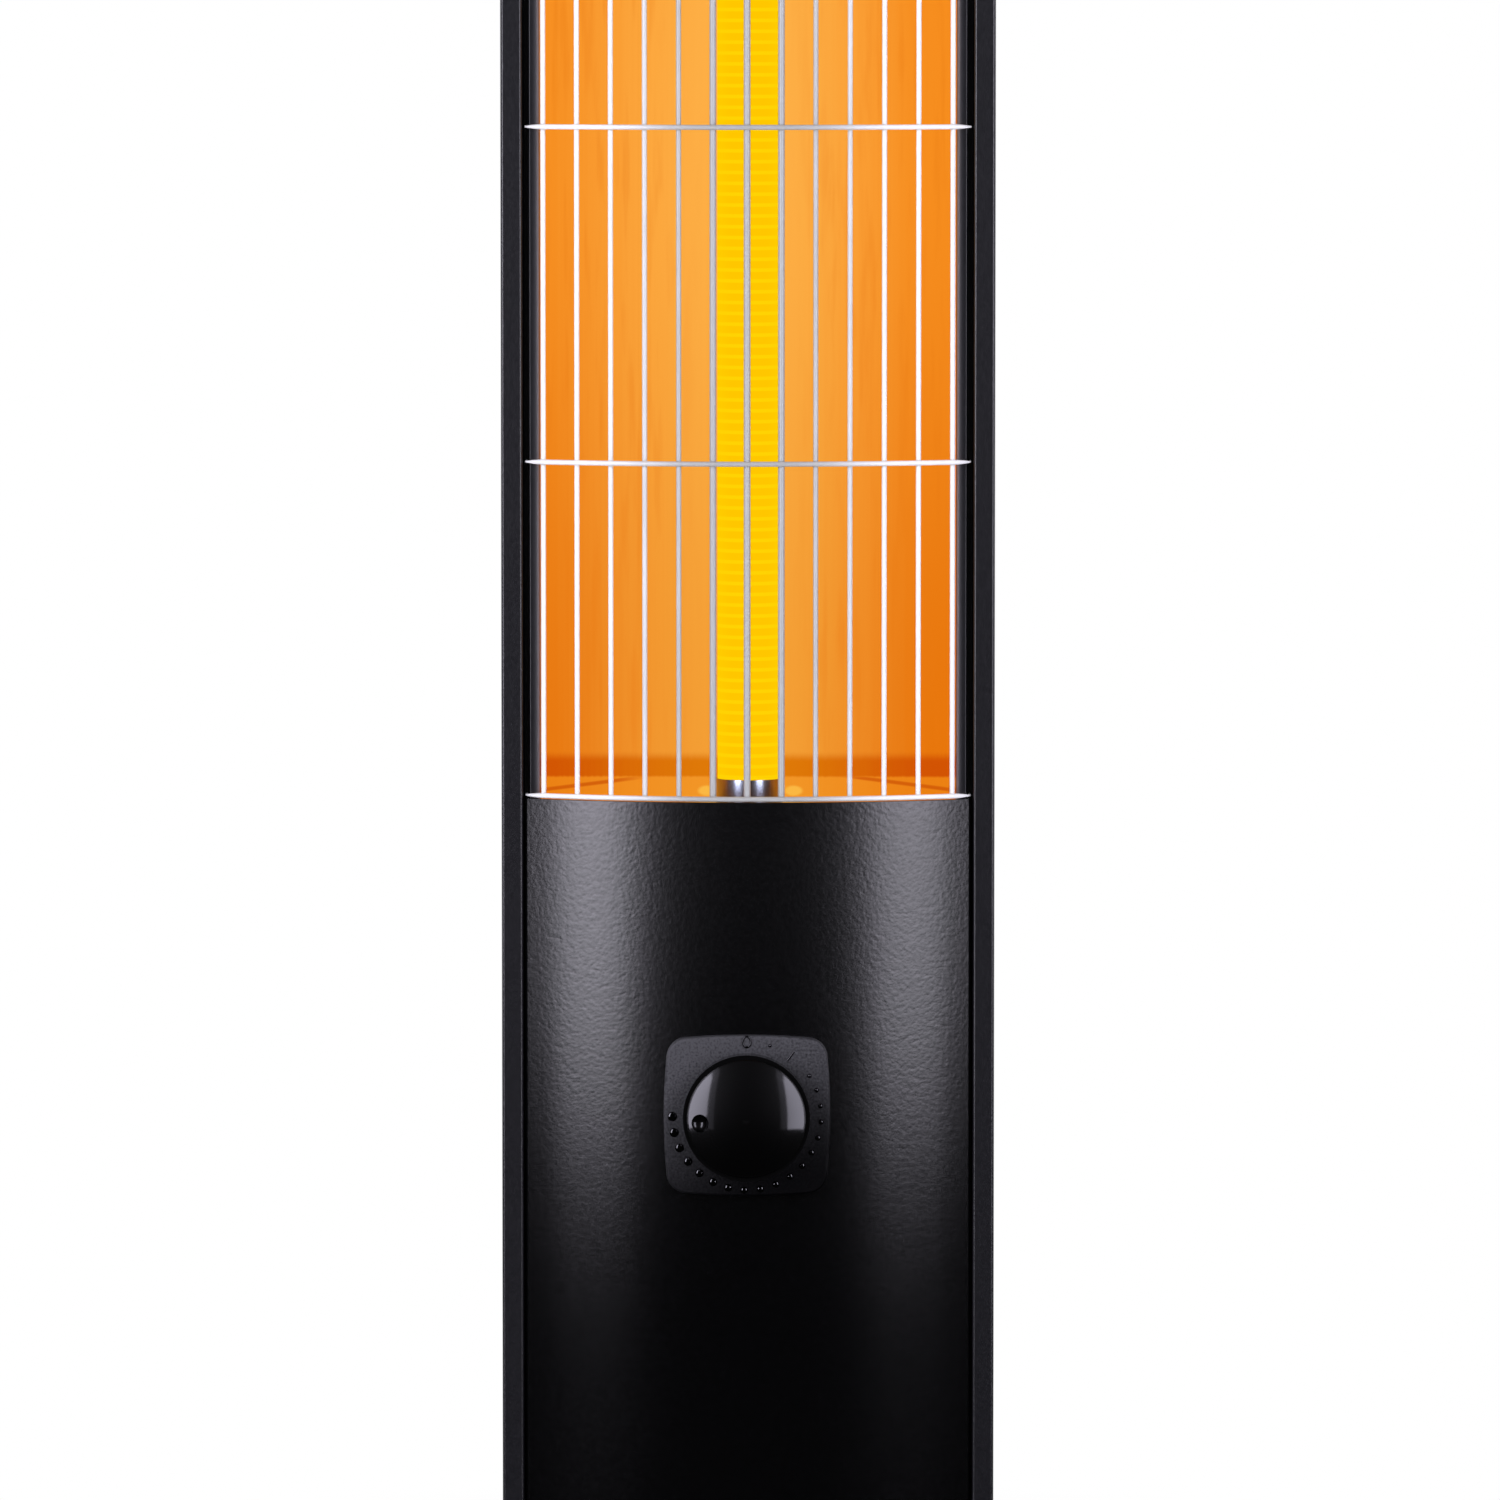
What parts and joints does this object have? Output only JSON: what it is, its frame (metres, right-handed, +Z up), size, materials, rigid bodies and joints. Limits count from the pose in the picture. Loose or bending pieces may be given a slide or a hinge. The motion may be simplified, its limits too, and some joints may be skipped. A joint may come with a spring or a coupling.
{
  "type": "tower heater",
  "caption": "Tall free-standing radiant heater: glowing quartz tube in a bowed reflector behind a wire guard, over a bowed front cover with a heat knob, on a flat base.",
  "frame": {"origin": "on the floor, under the middle of the base", "axes": "+Z up along the tower, the front with the knob faces -Y, +X to the right seen from the front"},
  "size_m": [0.3, 0.28, 1.1794],
  "materials": {
    "powder_coat": "black powder coat with a fine orange-peel texture, satin",
    "black_plastic": "moulded black plastic with a fine matt texture",
    "gloss_black": "polished black plastic",
    "plated_wire": "bright plated steel wire",
    "bright_reflector": "rolled bright aluminium sheet with upright rolling marks",
    "quartz": "quartz tube, glowing amber in use",
    "hot_coil": "resistance wire, glowing yellow in use",
    "steel": "bright steel",
    "white_ceramic": "unglazed cream ceramic",
    "brass": "plain brass",
    "phenolic": "dark moulded phenolic",
    "white_plastic": "white moulded plastic",
    "rubber": "black rubber",
    "lead_sleeve": "heat-proof red-brown silicone sleeve"
  },
  "bodies": {
    "tower": {"rear_casing": "powder_coat", "lower_front_cover": "powder_coat", "upper_front_cover": "powder_coat", "bottom_cap": "powder_coat", "base_plate": "powder_coat", "top_cap": "black_plastic", "dial_plate": "black_plastic", "cord_gland": "black_plastic", "gland_nut": "black_plastic", "guard_grille": "plated_wire", "reflector": "bright_reflector", "lower_end_plate": "bright_reflector", "upper_end_plate": "bright_reflector", "quartz_tube": "quartz", "heating_coil": "hot_coil", "lower_ferrule": "steel", "upper_ferrule": "steel", "regulator_bracket": "steel", "tip_spring": "steel", "base_screws": "steel", "end_plate_screws": "steel", "lower_socket_screws": "steel", "upper_socket_screws": "steel", "block_screws": "steel", "lower_tube_socket": "white_ceramic", "upper_tube_socket": "white_ceramic", "terminal_block": "white_ceramic", "lower_terminal_pin": "brass", "upper_terminal_pin": "brass", "regulator_nut": "brass", "regulator_tabs": "brass", "terminal_screws": "brass", "regulator_body": "phenolic", "overheat_cutout": "phenolic", "tip_switch_body": "phenolic", "rubber_feet": "rubber", "upper_lead": "lead_sleeve", "lower_lead": "lead_sleeve", "cutout_lead": "lead_sleeve", "switch_lead": "lead_sleeve", "block_lead": "lead_sleeve"},
    "knob": {"knob": "gloss_black", "regulator_shaft": "steel"},
    "tip_plunger": {"tip_plunger": "white_plastic"}
  },
  "joints": [
    {"name": "knob_turn", "type": "hinge", "parent": "tower", "child": "knob", "pos_m": [0, -0.0546, 0.2089], "axis": [0, -1, 0], "range_deg": [0, 265]},
    {"name": "tip_plunger_slide", "type": "slide", "parent": "tower", "child": "tip_plunger", "axis": [0, 0, -1], "range_m": [0, 0.006], "stiffness_N_per_m": 60, "springref_m": 0.01, "deforming": ["tip_spring"]}
  ]
}
